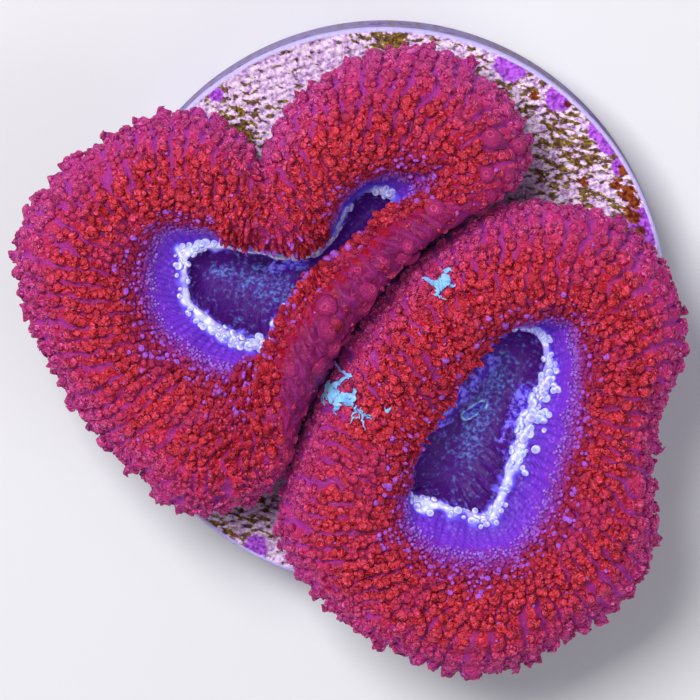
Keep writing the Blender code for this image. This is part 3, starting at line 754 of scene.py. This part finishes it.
def coat_seats(rings, facts, rows, seed, covered=()):
    """Seats for the coat of a polyp: vesicles, fingers, blisters, small buds that fill between them, and
    cones. Where strokes lie on the flesh it is covered, and the vesicles stay low."""
    rng = np.random.default_rng(seed)
    normal = outward(rings)
    count = rings.shape[1]
    along, run, phase, pitch = (facts[key] for key in ("along", "run", "phase", "pitch"))
    first, last = np.searchsorted(along[:, 0], [1.05, 3.55])
    wider = [(start, end, half + 0.12) for start, end, half in covered]
    beneath = stroked(rings[..., 0], rings[..., 1], wider)

    def seat(spot, lean, wide, tall, zone, palest=1.0):
        shade = palest * rng.random()
        return rings[spot], lean / np.linalg.norm(lean), wide / 2, tall, zone, shade

    cones = []
    edge = np.linalg.norm(np.roll(rings[first], -1, axis=0) - rings[first], axis=1).sum()
    for k in range(int(edge / CONE_SPACING)):
        column = int(count * (k + rng.random()) * CONE_SPACING / edge) % count
        spot = UNDER_RINGS + (k % 3) * 5 + int(rng.integers(-1, 3)), column
        if facts["pillows"][spot] > 0.6:
            lean = normal[spot] * [1.3, 1.3, 0.8] + rng.normal(0, 0.14, 3)
            cones.append(seat(spot, lean, rng.uniform(0.34, 0.52), rng.uniform(0.12, 0.34), 1.05, 0.9))

    blisters = []
    for _ in range(BLISTER_TRIES):
        spot = int(rng.integers(first, np.searchsorted(along[:, 0], 2.3))), int(rng.integers(count))
        fit = facts["blisters"][spot] * np.interp(along[spot], [1.0, 1.15, 2.0, 2.3], [0.4, 1, 1, 0.3])
        wide = rng.uniform(0.8, 1.2)
        clear = all(np.linalg.norm(rings[spot] - s[0]) > 0.52 * (wide + 2 * s[2]) for s in blisters)
        if facts["blisters"][spot] > 0.45 and rng.random() < fit * 0.06 and clear:
            blisters.append(seat(spot, normal[spot], wide, 0.16 * wide, min(along[spot], 1.45), 0.9))

    vesicles, fingers, buds = [], [], []
    for row in range(rows):
        near = int(round((row + 0.5) * count / rows)) % count
        here = run[first, near] + 0.4 * rng.random()
        while here < run[last, near]:
            ring = int(np.searchsorted(run[:, near], here))
            reach = along[ring, 0]
            far = min(reach, facts["zone"][ring, near]) if reach > 2.5 else reach
            start = 1.2 + 1.35 * facts["blisters"][ring, near]
            small = np.interp(far, [1.0, 1.8, 2.4, 2.75, 2.95, 3.3], [1.0, 0.95, 0.9, 0.72, 0.54, 0.4])
            unit = VESICLE_PITCH * small
            abreast = max(1, int(round(0.98 * pitch[ring, near] / unit)))
            order = np.argsort(phase[ring])
            for k in range(abreast):
                side = (k + 0.5) / abreast - 0.5 + rng.normal(0, 0.04)
                spread = np.interp(far, [1.2, 1.6, 2.3, 2.8], [0.8, 0.62, 0.64, 0.86])
                spread += (0.94 - spread) * (1 - facts["pillows"][ring, near])
                wanted = (row + 0.5 + spread * side) % rows
                column = np.interp(wanted, phase[ring][order] % rows, order.astype(float), period=rows)
                spot = min(max(ring + int(rng.integers(-1, 2)), first), last), int(round(column)) % count
                place, up = rings[spot], normal[spot]
                zone, grip = facts["zone"][spot], float(np.clip(facts["fingers"][spot], 0, 1))
                keep = np.interp(far, [1.05, 1.5, 2.0, 3.0, 3.34, 3.36], [0.3, 0.8, 0.92, 0.95, 0.3, 0.0])
                keep *= 1 - 0.6 * (1 - facts["mound"][spot]) * (far < 2.3)
                keep *= 1 - 0.96 * facts["blisters"][spot] * (reach < start)
                keep *= facts["valley"][spot] < 0.7 or far > 2.35 or facts["pillows"][spot] < 0.6
                if rng.random() > keep or any(np.linalg.norm(place - s[0]) < 0.85 * s[2] for s in blisters):
                    continue
                wide = min(unit * 1.25, 1.2 * pitch[spot] / abreast) * rng.uniform(0.6, 1.3)
                tall = wide * rng.uniform(0.28, 0.55)
                tall *= np.interp(far, [1.0, 1.7, 2.2, 3.2], [0.6, 0.8, 1.1, 1.0])
                lean = up + rng.normal(0, 0.16, 3) + [0, 0, 0.1]
                long = grip * np.interp(reach, [start, start + 0.2], [0, 1])
                long *= np.interp(far, [2.5, 2.8, 2.95], [1, 0.7, 0.0])
                if beneath[spot] > 0.3:
                    vesicles.append(seat(spot, up, 0.9 * wide, 0.12, zone, 0.9))
                elif long * rng.uniform(0.7, 1.3) > 0.55:
                    stub = facts["blisters"][spot]  # the ridge's fringe is of fewer, stubbier fingers
                    if rng.random() < 0.1 + 0.4 * stub:
                        continue
                    side = (rings[-1, spot[1]] - place) * [1, 1, 0]  # towards the pit
                    lean = 0.7 * lean + (0.6 + 0.2 * stub) * side / np.linalg.norm(side) + [0, 0, 0.25]
                    tall = wide * (0.9 + (1.0 - 0.2 * stub) * long) * rng.uniform(0.75, 1.2)
                    tall *= np.interp(far, [2.5, 2.9], [1, 0.6])
                    fingers.append(seat(spot, lean, (0.66 + 0.5 * stub) * wide, tall, zone, 0.9))
                elif far > 2.8:
                    buds.append(seat(spot, lean, wide, 1.5 * tall, zone))
                elif rng.random() < 0.4:
                    fingers.append(seat(spot, lean, wide, tall * rng.uniform(1.1, 1.9), zone, 0.9))
                else:
                    vesicles.append(seat(spot, lean, wide, tall, zone, 0.9))
            here += unit * rng.uniform(0.86, 1.14)

    for _ in range(FILLER_TRIES):
        spot = int(rng.integers(first, np.searchsorted(along[:, 0], 2.75))), int(rng.integers(count))
        open_row = facts["valley"][spot] < np.interp(along[spot], [1.3, 1.8], [0.74, 0.52])
        if open_row and beneath[spot] < 0.3 and rng.random() < 1 - 0.9 * facts["blisters"][spot]:
            wide = rng.uniform(0.16, 0.3)
            lean = normal[spot] + rng.normal(0, 0.2, 3)
            buds.append(seat(spot, lean, wide, wide * rng.uniform(0.35, 0.7), facts["zone"][spot]))
    return vesicles, fingers, blisters, buds, cones


def vesicle_finish(name):
    """Thin red flesh over water: dark where a vesicle meets the skin as painted shade, a ring of painted
    highlight near its top, and thin curling pink lines of painted highlight.
    """
    finish, shader, add = start_finish(name)
    read, times, plus = short_ways(add)
    place = add("TexCoord", output=3)
    fine = add("TexNoise", {"Vector": place, "Scale": 6000.0, "Detail": 2.0})
    broad = add("TexNoise", {"Vector": place, "Scale": 330.0, "Detail": 3.0})
    height = plus(read("tip"), times(figured(add, "SUBTRACT", fine, 0.5), 0.4))
    zone = plus(times(read("zone"), 0.2), times(figured(add, "SUBTRACT", broad, 0.5), 0.1))

    # red on the crown of the flesh, pinker towards the widest reach; each body darkens towards its base as
    # painted shade and brightens in a ring near its top as painted highlight
    tone = ramped(add, height, [
        (0.0, screen(84, 2, 6)), (0.22, screen(138, 10, 16)), (0.48, screen(200, 36, 36)),
        (0.72, screen(230, 64, 78)), (1.0, screen(190, 54, 92)),
    ])  # fmt: skip
    outer = ramped(add, height, [
        (0.0, screen(132, 30, 110)), (0.22, screen(160, 36, 108)), (0.48, screen(192, 48, 112)),
        (0.72, screen(218, 78, 146)), (1.0, screen(180, 56, 136)),
    ])  # fmt: skip
    out = stepped(add, zone, 0.37, 0.255)
    tone = mixed(add, out, tone, outer)
    curl, hollow_shade = curled(add, place, 2100.0)
    # painted shade in the hollows between the curling lines, and painted highlight along them
    tone = mixed(add, times(hollow_shade, 0.65), tone, mixed(add, out, screen(104, 2, 10), screen(128, 14, 66)))
    tone = mixed(add, times(curl, 0.8), tone, mixed(add, out, screen(255, 98, 128), screen(255, 124, 206)))

    # some darker than others, some hazy, the widest with only a ring of light
    shade = read("shade")
    tone = mixed(add, times(stepped(add, shade, 0.3, 0.0), 0.35), tone, screen(110, 6, 20))
    tone = mixed(add, times(stepped(add, broad, 0.52, 0.64), 0.24), tone, screen(170, 50, 140))
    # painted shade: bodies at the widest reach and below it, where the flank turns down, are darkened
    tone = mixed(add, times(stepped(add, zone, 0.24, 0.14), 0.7), tone, screen(58, 10, 48))
    low = ramped(add, height, [
        (0.0, screen(148, 34, 100)), (0.58, screen(164, 40, 102)), (0.72, screen(210, 78, 140)),
        (0.84, screen(156, 32, 84)), (1.0, screen(156, 34, 84)),
    ])  # fmt: skip
    tone = mixed(add, times(stepped(add, read("wide"), 0.00034, 0.0004), 0.85), tone, low)
    tone = mixed(add, times(stepped(add, zone, 0.44, 0.54), 0.45), tone, screen(104, 8, 56))

    # pearls where the flesh turns to the pit, violet on its slope, both darker towards their bases as
    # painted shade, and lilac tips here and there
    pearl = ramped(add, height, [
        (0.1, screen(92, 14, 84)), (0.5, screen(162, 66, 176)), (0.75, screen(158, 76, 200)),
    ])  # fmt: skip
    tone = mixed(add, times(stepped(add, zone, 0.54, 0.62), 0.75), tone, pearl)
    violet = ramped(add, height, [(0.1, screen(70, 30, 150)), (0.6, screen(176, 130, 252))])
    tone = mixed(add, times(stepped(add, zone, 0.6, 0.65), 0.9), tone, violet)
    often = ramped(add, zone, [
        (0.3, (0.04, 0.04, 0.04, 1)), (0.45, (0.1, 0.1, 0.1, 1)), (0.52, (0.38, 0.38, 0.38, 1)),
    ])  # fmt: skip
    chosen = figured(add, "GREATER_THAN", shade, figured(add, "SUBTRACT", 1.0, often))
    tone = mixed(add, times(chosen, times(stepped(add, height, 0.3, 0.6), 0.85)), tone,
                 screen(168, 100, 236))  # fmt: skip

    relief = plus(curl, times(fine, 0.5))
    # painted glow: each body glows faintly in its own colour, which lifts its shade
    give(shader, {
        "Base Color": tone, "Emission Color": tone, "Emission Strength": 0.14,
        "Normal": add("Bump", {"Height": relief, "Strength": 0.8, "Distance": 0.00012}),
        "Roughness": 0.42, "Specular IOR Level": 0.09, "Subsurface Weight": 0.3,
        "Subsurface Radius": (1.0, 0.25, 0.45), "Subsurface Scale": 0.0002,
        "Sheen Weight": 0.2, "Sheen Roughness": 0.3, "Sheen Tint": (0.95, 0.14, 0.5, 1.0),
    })  # fmt: skip
    return finish


heart_red = vesicle_finish("heart vesicles")
heart_coat = coat_seats(heart, heart_facts, HEART_ROWS, 21)
for name, seats, body, seed in (
    ("heart_vesicles", heart_coat[0], vesicle, 1),
    ("heart_fingers", heart_coat[1], finger, 2),
    ("heart_blisters", heart_coat[2], blister, 3),
    ("heart_buds", heart_coat[3], bud, 10),
    ("heart_cones", heart_coat[4], cone, 12),
):
    piece = grown(name, seats, body, heart_red, seed)
    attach(piece, "root")
    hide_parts("polyp_heart")

# The oval polyp: a ring of the same flesh round one slanting pit, pressed against the ridge on one side.
# Its rim shows white on the right and below, and its slit of a mouth is edged with pale cyan.

OVAL_ROWS = 72
OVAL_POINTS = 648
OVAL_STATIONS = [
    ((9.1, 6.6), (8.7, 0.1), (7.9, -0.4), 7.4, 0.9, 0.2, 0.9, 0.2),
    ((5.95, 6.05), (6.8, -0.3), (6.9, -0.7), 7.4, 0.5, 0.35, 0.2, 0.2),
    ((3.35, 4.45), (5.3, -1.6), (5.4, -1.5), 7.3, 0.3, 0.45, 0.0, 0.1),
    ((1.0, 2.5), (4.0, -3.5), (4.1, -3.2), 7.1, 0.3, 0.5, 0.0, 0.0),
    ((-1.1, -0.1), (2.7, -5.5), (2.8, -5.1), 7.0, 0.3, 0.5, 0.0, 0.0),
    ((-3.0, -3.2), (1.6, -7.3), (1.8, -7.2), 7.0, 0.3, 0.5, 0.0, 0.0),
    ((-4.55, -6.55), (1.1, -9.2), (1.1, -9.5), 7.0, 0.3, 0.4, 0.1, 0.0),
    ((-5.7, -9.7), (1.0, -10.9), (1.6, -10.4), 6.9, 0.45, 0.3, 0.8, 0.0),
    ((-6.0, -12.8), (1.6, -12.4), (2.5, -10.6), 6.8, 0.9, 0.1, 1.0, 0.1),
    ((-4.3, -15.35), (2.7, -13.2), (3.4, -10.9), 6.8, 1.0, 0.0, 0.9, 0.1),
    ((-2.1, -17.6), (4.0, -13.7), (4.4, -11.1), 6.7, 1.0, 0.0, 1.0, 0.2),
    ((0.9, -19.3), (5.5, -13.8), (5.3, -11.4), 6.6, 1.0, 0.1, 1.1, 0.2),
    ((4.3, -20.5), (7.0, -13.4), (6.0, -11.4), 6.6, 1.0, 0.2, 1.1, 0.2),
    ((8.0, -19.8), (8.1, -12.5), (6.4, -10.6), 6.6, 1.0, 0.3, 0.9, 0.1),
    ((11.2, -17.7), (9.0, -11.4), (6.7, -9.7), 6.8, 1.0, 0.4, 0.8, 0.1),
    ((13.9, -15.8), (9.7, -9.9), (7.1, -8.7), 7.0, 1.0, 0.4, 0.9, 0.1),
    ((15.25, -12.6), (10.2, -8.2), (7.5, -7.4), 7.2, 1.0, 0.3, 1.3, 0.1),
    ((15.05, -9.05), (10.55, -6.4), (7.9, -6.1), 7.2, 1.0, 0.3, 1.4, 0.1),
    ((15.4, -5.6), (10.85, -4.65), (8.5, -4.8), 7.0, 1.0, 0.2, 1.3, 0.2),
    ((16.8, -2.0), (11.0, -2.9), (9.1, -3.4), 7.0, 1.0, 0.1, 1.1, 0.3),
    ((16.5, 1.5), (10.8, -1.4), (9.2, -2.2), 7.2, 1.0, 0.1, 1.1, 0.4),
    ((14.8, 4.2), (10.5, -0.2), (8.8, -1.1), 7.4, 1.0, 0.1, 1.1, 0.4),
    ((12.2, 6.0), (9.7, 0.2), (8.3, -0.6), 7.4, 1.0, 0.1, 1.0, 0.3),
]
OVAL_MOUTH = [(3.8, -9.0), (5.1, -6.1), (7.4, -2.2)]
OVAL_MARKS = {
    "green": [((6.4, -3.4), (4.6, -7.6), 0.8)],
    "blue": [
        ((6.0, -2.7), (3.0, -6.2), 0.8), ((4.7, -5.7), (5.4, -5.3), 0.35), ((7.0, -7.2), (7.7, -4.4), 0.75),
    ],
    "crease": [],
    "lips": [((4.6, -5.75), (5.5, -5.2), 0.26)],
}

oval, oval_facts = dressed_flesh(OVAL_STATIONS, OVAL_MOUTH, OVAL_MARKS, OVAL_ROWS, OVAL_POINTS, 31)
oval_skin = mesh_of_rings("oval_skin", oval, {key: oval_facts[key] for key in SKIN_VALUES})
oval_skin.data.materials.append(skin_finish("oval flesh"))
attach(oval_skin, "root")
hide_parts("polyp_oval")

# The vesicles of the oval polyp: rows of the same small domes, with fingers where the flesh hangs over the
# pit, and lilac pearls along the pit's edge. They are pressed low where the shreds of film lie on them.

SHREDS = [  # start, end and half width
    ((2.95, 2.3), (3.5, 2.45), 0.3), ((3.15, 2.35), (2.2, 2.45), 0.15),
    ((3.2, 2.3), (4.0, 2.25), 0.14), ((3.25, 2.35), (3.65, 3.2), 0.22),
    ((3.1, 2.4), (2.7, 1.7), 0.17), ((3.6, 3.1), (3.8, 3.05), 0.07),
    ((2.9, 1.5), (3.45, 1.6), 0.05), ((-3.35, -3.85), (-1.6, -4.5), 0.3),
    ((-3.1, -4.25), (-1.7, -4.25), 0.27), ((-2.7, -3.9), (-1.65, -4.05), 0.22),
    ((-3.1, -3.8), (-3.65, -3.2), 0.17), ((-2.9, -3.75), (-1.65, -2.95), 0.16),
    ((-1.68, -2.98), (-3.0, -2.3), 0.1), ((-1.7, -4.3), (-1.57, -3.5), 0.14),
    ((-2.6, -4.3), (-2.5, -5.0), 0.19), ((-3.1, -4.2), (-3.5, -4.5), 0.12),
    ((-1.5, -4.5), (-1.14, -5.85), 0.055), ((-1.6, -4.7), (-1.75, -5.3), 0.05),
    ((-1.3, -4.6), (-0.8, -5.1), 0.05), ((-1.2, -5.2), (-0.6, -5.3), 0.04),
    ((-1.75, -5.3), (-1.3, -5.0), 0.04), ((-0.05, -4.75), (0.3, -4.6), 0.11),
]  # fmt: skip
oval_red = vesicle_finish("oval vesicles")
oval_coat = coat_seats(oval, oval_facts, OVAL_ROWS, 41, SHREDS)
for name, seats, body, seed in (
    ("oval_vesicles", oval_coat[0], vesicle, 4),
    ("oval_fingers", oval_coat[1], finger, 5),
    ("oval_buds", oval_coat[3], bud, 11),
    ("oval_cones", oval_coat[4], cone, 13),
):
    piece = grown(name, seats, body, oval_red, seed)
    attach(piece, "root")
    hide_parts("polyp_oval")

# The bubbles of both oral rims: clear blisters of pale lavender flesh that sit singly and in clusters on
# the outer side of the white rim, the largest cluster where the oval's right wall bulges.

RIM_CLUSTERS = [((7.9, -6.0), 0.75, 26), ((8.9, -4.2), 0.5, 14), ((9.0, -2.8), 0.35, 7)]
WALL_RINGS = 26  # as far above the rim as bubbles sit
LONE_BUBBLES = [(-9.0, -1.1), (-8.0, -1.35), (-8.5, -1.2), (-11.0, 3.0), (-10.6, -0.2), (-10.2, -0.5)]


def rim_bubbles(rings, facts, seed, spacing, clusters, alone):
    """Seats along the white rim, in clusters round some points, and alone at others."""
    rng = np.random.default_rng(seed)
    normal = outward(rings)
    rim = UNDER_RINGS + FLANK_RINGS + SLOPE_RINGS
    count = rings.shape[1]
    length = np.linalg.norm(np.roll(rings[rim], -1, axis=0) - rings[rim], axis=1).sum()
    spots = []
    for _ in range(int(length / spacing)):
        column = int(rng.integers(count))
        if rng.random() < facts["white"][rim, column] * 0.8:
            spots.append((rim + int(round(rng.normal(-2.0, 2.6))), column, rng.uniform(0.22, 0.5)))
    wall = rings[rim - WALL_RINGS:rim + 4]
    places = [(np.array(at) + rng.normal(0, spread, 2), rng.uniform(0.3, 0.62))
              for at, spread, amount in clusters for _ in range(amount)]  # fmt: skip
    places += [(np.array(at), 0.42) for at in alone]
    for at, wide in places:
        gap = np.hypot(*(wall[..., :2] - at).transpose(2, 0, 1))
        level, column = np.unravel_index(np.argmin(gap), gap.shape)
        spots.append((rim - WALL_RINGS + level, column, wide))
    seats = []
    for level, column, wide in spots:
        lean = normal[level, column] + rng.normal(0, 0.25, 3) + [0, 0, 0.2]
        lean = lean / np.linalg.norm(lean)
        seats.append((rings[level, column], lean, wide / 2, wide * 0.42, 4.0, rng.random()))
    return seats


def bubble_finish(name):
    """Clear pale flesh: violet inside, darker violet at its foot as painted shade, with a white ring of
    painted highlight where the bubble's wall is thickest.
    """
    finish, shader, add = start_finish(name)
    read, times, _ = short_ways(add)
    tone = ramped(add, read("tip"), [
        (0.0, screen(96, 76, 230)), (0.25, screen(176, 170, 255)), (0.42, screen(246, 246, 255)),
        (0.6, screen(206, 204, 255)), (0.8, screen(172, 164, 255)), (1.0, screen(160, 150, 252)),
    ])  # fmt: skip
    tone = mixed(add, times(read("shade"), 0.35), tone, screen(140, 190, 255))
    # painted glow: the bubbles glow faintly in their own colour
    give(shader, {
        "Base Color": tone, "Emission Color": tone, "Emission Strength": 0.14, "Roughness": 0.3,
        "Subsurface Weight": 0.4, "Subsurface Radius": (0.6, 0.5, 1.0), "Subsurface Scale": 0.0003,
    })  # fmt: skip
    return finish


bubble = small_body("bubble", 12, [
    (0.9, -0.5), (1.0, 0.2), (0.88, 0.66), (0.62, 0.92), (0.3, 1.0), (0.0, 1.0),
])  # fmt: skip
clear = bubble_finish("rim bubbles")
heart_seats = rim_bubbles(heart, heart_facts, 51, 0.2, [], LONE_BUBBLES)
oval_seats = rim_bubbles(oval, oval_facts, 52, 0.22, RIM_CLUSTERS, [])
for name, seats, node, slot, seed in (
    ("heart_rim_bubbles", heart_seats, "polyp_heart", "flesh_heart", 7),
    ("oval_rim_bubbles", oval_seats, "polyp_oval", "flesh_oval", 8),
):
    piece = grown(name, seats, bubble, clear, seed)
    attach(piece, "root")
    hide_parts(node)

# The film on the oval polyp: two torn patches of pale cyan slime, thin shreds and strings that stick to
# the tops of the vesicles.


def torn_film(name, rings, strokes, seed):
    """A piece of flat strings that follow the strokes over the flesh, and taper to their ends."""
    rng = np.random.default_rng(seed)
    reach = slice(UNDER_RINGS + 8, UNDER_RINGS + FLANK_RINGS + 20)
    flesh, normal = rings[reach], outward(rings)[reach]
    points, faces, shades = [], [], []
    steps, sides = 13, 8
    for start, end, half in strokes:
        start, end = np.array(start), np.array(end)
        ahead = (end - start) / np.linalg.norm(end - start)
        sway = rng.normal(0, 0.07, 5)
        first = len(points)
        for k in range(steps):
            t = k / (steps - 1)
            at = start + t * (end - start) + np.interp(4 * t, range(5), sway) * ahead[::-1] * [-1, 1]
            gap = np.hypot(*(flesh[..., :2] - at).transpose(2, 0, 1))
            level, column = np.unravel_index(np.argmin(gap), gap.shape)
            up = normal[level, column]
            across = np.cross(up, [*ahead, 0])
            across /= np.linalg.norm(across)
            wide = 1.3 * half * min(1, 0.3 + 0.5 * k) * (1 - 0.65 * t**2) * rng.uniform(0.65, 1.3)
            thick = rng.uniform(0.03, 0.06)
            for turn in np.linspace(0, 2 * np.pi, sides, endpoint=False):
                side = wide * math.cos(turn) * across + thick * math.sin(turn) * up
                points.append(flesh[level, column] + rng.uniform(0.2, 0.26) * up + side)
            shades += [rng.uniform(0.3, 1.0) * (1 - 0.4 * t)] * sides
        index = first + np.arange(steps * sides).reshape(steps, sides)
        beside = np.roll(index, -1, axis=1)
        faces += np.stack([index[:-1], index[1:], beside[1:], beside[:-1]], axis=-1).reshape(-1, 4).tolist()
        faces += [index[0].tolist(), index[-1][::-1].tolist()]
    mesh = bpy.data.meshes.new(name)
    mesh.from_pydata((np.array(points) * MM).tolist(), [], faces)
    mesh.attributes.new("shade", "FLOAT", "POINT").data.foreach_set("value", shades)
    mesh.shade_smooth()
    piece = bpy.data.objects.new(name, mesh)
    bpy.context.scene.collection.objects.link(piece)
    return piece


slime, shader, add = start_finish("film on the oval")
shade = add("Attribute", output=2, attribute_name="shade")
tone = ramped(add, shade, [
    (0.0, screen(150, 140, 244)), (0.3, screen(124, 176, 244)), (0.7, screen(140, 204, 244)),
    (1.0, screen(200, 228, 255)),
])  # fmt: skip
# painted glow: the film glows faintly in its own colour
give(shader, {
    "Base Color": tone, "Emission Color": tone, "Emission Strength": 0.14, "Roughness": 0.5,
    "Subsurface Weight": 0.2, "Subsurface Scale": 0.0002,
})  # fmt: skip
film = torn_film("oval_film", oval, SHREDS, 61)
film.data.materials.append(slime)
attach(film, "root")
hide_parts("polyp_oval")

# The studio: a plain pale floor, a wide soft light overhead, a weaker one from the other side, and a
# camera with a long lens that looks almost straight down, as the photographer did.

CAMERA_TILT = math.radians(8.0)  # towards +Y
CAMERA_DISTANCE = 400.0
VIEW_CENTRE = (-1.96, -2.32, DISC_TOP)
VIEW_WIDTH = 39.7

floor_mesh = bpy.data.meshes.new("floor")
floor_mesh.from_pydata([(-2, -2, 0), (2, -2, 0), (2, 2, 0), (-2, 2, 0)], [], [(0, 1, 2, 3)])
floor = bpy.data.objects.new("floor", floor_mesh)
bpy.context.scene.collection.objects.link(floor)
paper, shader, add = start_finish("floor paper")
give(shader, {"Base Color": (0.78, 0.78, 0.8, 1.0), "Roughness": 0.9})
floor_mesh.materials.append(paper)


def soft_light(name, place, size, watts, tint):
    """A square soft light at a place in millimetres, its side in metres, that faces the disc."""
    light = bpy.data.lights.new(name, "AREA")
    light.size, light.energy, light.color = size, watts, tint
    lamp = bpy.data.objects.new(name, light)
    lamp.location = [part * MM for part in place]
    lamp.rotation_mode = "QUATERNION"
    lamp.rotation_quaternion = lamp.location.to_track_quat("Z", "Y")
    bpy.context.scene.collection.objects.link(lamp)


soft_light("overhead", (-110, 130, 300), 0.14, 1.12, (1.0, 0.99, 1.0))
soft_light("fill", (200, -120, 240), 0.2, 0.26, (0.94, 0.96, 1.0))
world = bpy.data.worlds.new("studio")
world.use_nodes = True
give(world.node_tree.nodes["Background"], {"Color": (0.92, 0.93, 1.0, 1.0), "Strength": 0.22})
bpy.context.scene.world = world

lens = bpy.data.cameras.new("camera")
lens.sensor_width = 36.0
lens.lens = 36.0 * CAMERA_DISTANCE / VIEW_WIDTH
lens.clip_start, lens.clip_end = 0.01, 10.0
camera = bpy.data.objects.new("camera", lens)
back = (0.0, math.sin(CAMERA_TILT), math.cos(CAMERA_TILT))
camera.location = [(c + CAMERA_DISTANCE * b) * MM for c, b in zip(VIEW_CENTRE, back)]
camera.rotation_euler = (-CAMERA_TILT, 0.0, 0.0)
bpy.context.scene.collection.objects.link(camera)
bpy.context.scene.camera = camera
bpy.context.scene.view_settings.view_transform = "Standard"
